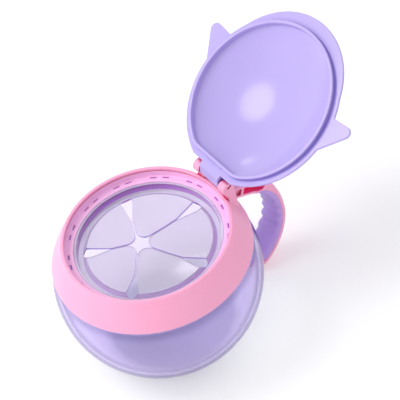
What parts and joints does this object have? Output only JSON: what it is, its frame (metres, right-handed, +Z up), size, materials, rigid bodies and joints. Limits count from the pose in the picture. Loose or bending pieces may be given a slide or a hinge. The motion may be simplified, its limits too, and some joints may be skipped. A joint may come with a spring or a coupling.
{
  "type": "toddler snack container",
  "caption": "Ball-shaped clear cup with a turn-off collar, hooked handle, soft slit flap over the mouth and a flip lid that swings back over the handle.",
  "frame": {"origin": "centre of the cup's flat base, on the surface that it stands on", "axes": "+Z up along the cup's axis; -Y towards the lid's thumb edge; the hinge and the handle towards +Y"},
  "size_m": [0.0922, 0.1484, 0.1099],
  "materials": {
    "cup_clear": "clear, gloss",
    "collar_pink": "satin",
    "grip_purple": "soft matte",
    "flap_soft": "translucent, gloss",
    "lid_lavender": "satin"
  },
  "bodies": {
    "cup": {"cup_body": "cup_clear"},
    "collar": {"collar": "collar_pink", "handle_arm": "collar_pink", "handle_grip": "grip_purple", "flap_ring": "flap_soft"},
    "lid": {"lid": "lid_lavender"},
    "petal_1": {"flap_petal_1": "flap_soft"},
    "petal_2": {"flap_petal_2": "flap_soft"},
    "petal_3": {"flap_petal_3": "flap_soft"},
    "petal_4": {"flap_petal_4": "flap_soft"},
    "petal_5": {"flap_petal_5": "flap_soft"}
  },
  "joints": [
    {"name": "collar_turn", "type": "hinge", "parent": "cup", "child": "collar", "pos_m": [0, 0, 0.04883], "axis": [0, 0, 1], "range_deg": [0, 60]},
    {"name": "lid_hinge", "type": "hinge", "parent": "collar", "child": "lid", "pos_m": [0, 0.0373, 0.06738], "axis": [1, 0, 0], "range_deg": [0, 150.6]},
    {"name": "petal_1_bend", "type": "hinge", "parent": "collar", "child": "petal_1", "pos_m": [0.01454, 0.02274, 0.05453], "axis": [0.8425, -0.5388, 0], "range_deg": [-12, 60], "stiffness_Nm_per_rad": 0.02},
    {"name": "petal_2_bend", "type": "hinge", "parent": "collar", "child": "petal_2", "pos_m": [-0.01714, 0.02086, 0.05453], "axis": [0.7727, 0.6347, 0], "range_deg": [-12, 60], "stiffness_Nm_per_rad": 0.02},
    {"name": "petal_3_bend", "type": "hinge", "parent": "collar", "child": "petal_3", "pos_m": [-0.02513, -0.00985, 0.05453], "axis": [-0.3649, 0.9311, 0], "range_deg": [-12, 60], "stiffness_Nm_per_rad": 0.02},
    {"name": "petal_4_bend", "type": "hinge", "parent": "collar", "child": "petal_4", "pos_m": [0.0016, -0.02695, 0.05453], "axis": [-0.9982, -0.0593, 0], "range_deg": [-12, 60], "stiffness_Nm_per_rad": 0.02},
    {"name": "petal_5_bend", "type": "hinge", "parent": "collar", "child": "petal_5", "pos_m": [0.02612, -0.00681, 0.05453], "axis": [-0.2521, -0.9677, 0], "range_deg": [-12, 60], "stiffness_Nm_per_rad": 0.02}
  ]
}
